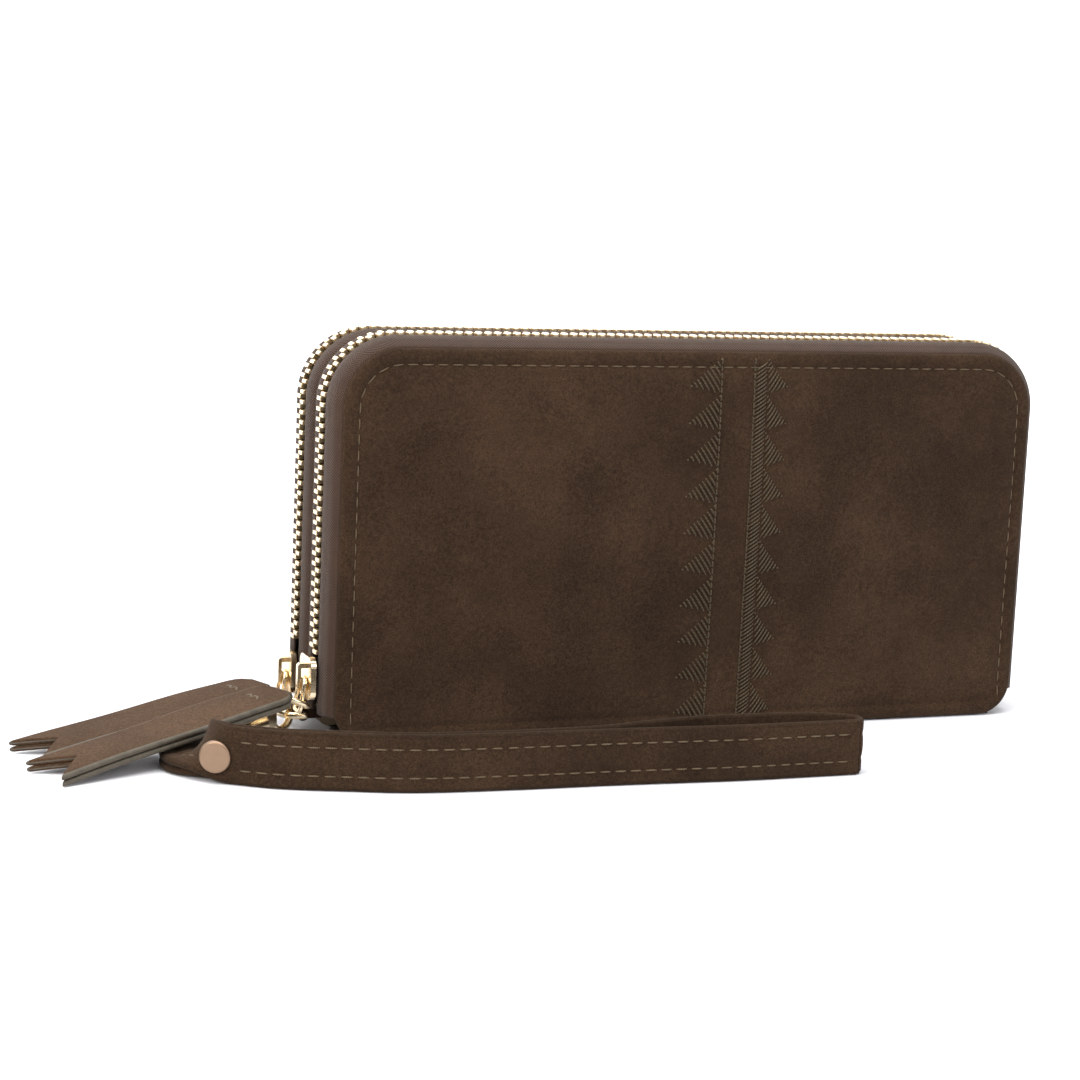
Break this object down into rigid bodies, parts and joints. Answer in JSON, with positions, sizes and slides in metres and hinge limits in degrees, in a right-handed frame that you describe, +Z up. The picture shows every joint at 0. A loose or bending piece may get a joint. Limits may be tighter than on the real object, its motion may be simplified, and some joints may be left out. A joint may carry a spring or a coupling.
{
  "type": "wristlet wallet",
  "caption": "Zip-around suede wallet with two compartments, a middle divider, pull tabs and a clip-on wrist strap.",
  "frame": {"origin": "centre of the underside of the base, on the surface that the wallet stands on", "axes": "+Z up, the front cover faces -Y, +X is to the right of someone who faces the front"},
  "size_m": [0.2783, 0.0916, 0.1034],
  "materials": {
    "suede": "napped",
    "lining_cloth": "woven",
    "stiffener": "matt",
    "zip_tape": "herringbone",
    "pale_gold": "polished",
    "rose_gold": "satin",
    "thread": "satin stitch"
  },
  "bodies": {
    "divider": {"divider_board": "stiffener", "divider_lining_front": "lining_cloth", "divider_lining_rear": "lining_cloth", "base_panel": "suede", "base_lining": "lining_cloth", "front_zip_tape_inner": "zip_tape", "front_zip_teeth_inner": "pale_gold", "rear_zip_tape_inner": "zip_tape", "rear_zip_teeth_inner": "pale_gold", "front_gusset_left": "lining_cloth", "front_gusset_right": "lining_cloth", "rear_gusset_left": "lining_cloth", "rear_gusset_right": "lining_cloth", "bill_pocket": "lining_cloth", "coin_pocket_pouch": "lining_cloth", "coin_pocket_welt": "lining_cloth", "coin_zip_tape": "zip_tape", "coin_zip_teeth": "pale_gold", "ring_tab": "suede"},
    "front_cover": {"front_shell": "suede", "front_board": "stiffener", "front_lining": "lining_cloth", "front_zip_tape_outer": "zip_tape", "front_zip_teeth_outer": "pale_gold", "embroidery_left": "thread", "embroidery_right": "thread", "front_card_slot_1": "lining_cloth", "front_card_slot_2": "lining_cloth", "front_card_slot_3": "lining_cloth", "front_card_slot_4": "lining_cloth"},
    "rear_cover": {"rear_shell": "suede", "rear_board": "stiffener", "rear_lining": "lining_cloth", "rear_zip_tape_outer": "zip_tape", "rear_zip_teeth_outer": "pale_gold", "rear_slip_pocket": "lining_cloth", "rear_card_slot_1": "lining_cloth", "rear_card_slot_2": "lining_cloth", "rear_card_slot_3": "lining_cloth", "rear_card_slot_4": "lining_cloth"},
    "coin_slider": {"coin_slider": "pale_gold"},
    "coin_puller": {"coin_puller": "pale_gold"},
    "d_ring": {"d_ring": "pale_gold"},
    "clasp": {"clasp_body": "pale_gold"},
    "clasp_gate": {"clasp_gate": "pale_gold"},
    "clasp_eye": {"clasp_eye": "pale_gold"},
    "wrist_strap": {"wrist_strap": "suede", "strap_rivet": "rose_gold"},
    "front_slider": {"front_slider": "pale_gold"},
    "front_puller": {"front_puller": "pale_gold"},
    "front_pull_ring": {"front_pull_ring": "pale_gold"},
    "front_pull_tab": {"front_pull_tab": "suede", "front_tab_bartack": "thread"},
    "rear_slider": {"rear_slider": "pale_gold"},
    "rear_puller": {"rear_puller": "pale_gold"},
    "rear_pull_ring": {"rear_pull_ring": "pale_gold"},
    "rear_pull_tab": {"rear_pull_tab": "suede", "rear_tab_bartack": "thread"}
  },
  "joints": [
    {"name": "front_cover_open", "type": "hinge", "parent": "divider", "child": "front_cover", "pos_m": [0, -0.0185, 0.0008], "axis": [1, 0, 0], "range_deg": [0, 50]},
    {"name": "rear_cover_open", "type": "hinge", "parent": "divider", "child": "rear_cover", "pos_m": [0, 0.0185, 0.0008], "axis": [-1, 0, 0], "range_deg": [0, 50]},
    {"name": "coin_slider_run", "type": "slide", "parent": "divider", "child": "coin_slider", "axis": [1, 0, 0], "range_m": [0, 0.13]},
    {"name": "coin_puller_swing", "type": "hinge", "parent": "coin_slider", "child": "coin_puller", "pos_m": [-0.066, 0.0076, 0.0692], "axis": [1, 0, 0], "range_deg": [0, 14]},
    {"name": "d_ring_swing", "type": "hinge", "parent": "divider", "child": "d_ring", "pos_m": [-0.1014, 0, 0.005], "axis": [0, 1, 0], "range_deg": [-60, 0]},
    {"name": "clasp_swing", "type": "hinge", "parent": "d_ring", "child": "clasp", "pos_m": [-0.10604, -0.00313, 0.005], "axis": [0.5592, -0.829, 0], "range_deg": [0, 10]},
    {"name": "clasp_gate_press", "type": "hinge", "parent": "clasp", "child": "clasp_gate", "pos_m": [-0.10877, -0.00496, 0.00776], "axis": [0.5592, -0.829, 0], "range_deg": [-20, 0], "stiffness_Nm_per_rad": 0.002},
    {"name": "clasp_swivel", "type": "hinge", "parent": "clasp", "child": "clasp_eye", "pos_m": [-0.1072, -0.0039, 0.0049], "axis": [-0.8269, -0.5578, -0.0715], "range_deg": [-5, 0]},
    {"name": "strap_swing", "type": "hinge", "parent": "clasp_eye", "child": "wrist_strap", "pos_m": [-0.13242, -0.02091, 0.00272], "axis": [0.5592, -0.829, 0], "range_deg": [0, 82]},
    {"name": "front_slider_run", "type": "slide", "parent": "divider", "child": "front_slider", "axis": [0, 0, 1], "range_m": [0, 0.06]},
    {"name": "front_puller_swing", "type": "hinge", "parent": "front_slider", "child": "front_puller", "pos_m": [-0.10325, -0.009, 0.0156], "axis": [0, 1, 0], "range_deg": [0, 75]},
    {"name": "front_pull_ring_swing", "type": "hinge", "parent": "front_puller", "child": "front_pull_ring", "pos_m": [-0.10425, -0.0111, 0.0095], "axis": [0.3584, -0.9336, 0], "range_deg": [-15, 0]},
    {"name": "front_pull_tab_swing", "type": "hinge", "parent": "front_pull_ring", "child": "front_pull_tab", "pos_m": [-0.11043, -0.01347, 0.01259], "axis": [0.3584, -0.9336, 0], "range_deg": [-60, 0]},
    {"name": "rear_slider_run", "type": "slide", "parent": "divider", "child": "rear_slider", "axis": [0, 0, 1], "range_m": [0, 0.06]},
    {"name": "rear_puller_swing", "type": "hinge", "parent": "rear_slider", "child": "rear_puller", "pos_m": [-0.10325, 0.009, 0.0134], "axis": [0, 1, 0], "range_deg": [0, 75]},
    {"name": "rear_pull_ring_swing", "type": "hinge", "parent": "rear_puller", "child": "rear_pull_ring", "pos_m": [-0.10425, 0.0069, 0.0073], "axis": [0.2079, -0.9781, 0], "range_deg": [-15, 0]},
    {"name": "rear_pull_tab_swing", "type": "hinge", "parent": "rear_pull_ring", "child": "rear_pull_tab", "pos_m": [-0.11072, 0.00552, 0.01039], "axis": [0.3502, -0.9367, 0], "range_deg": [-60, 0]}
  ]
}
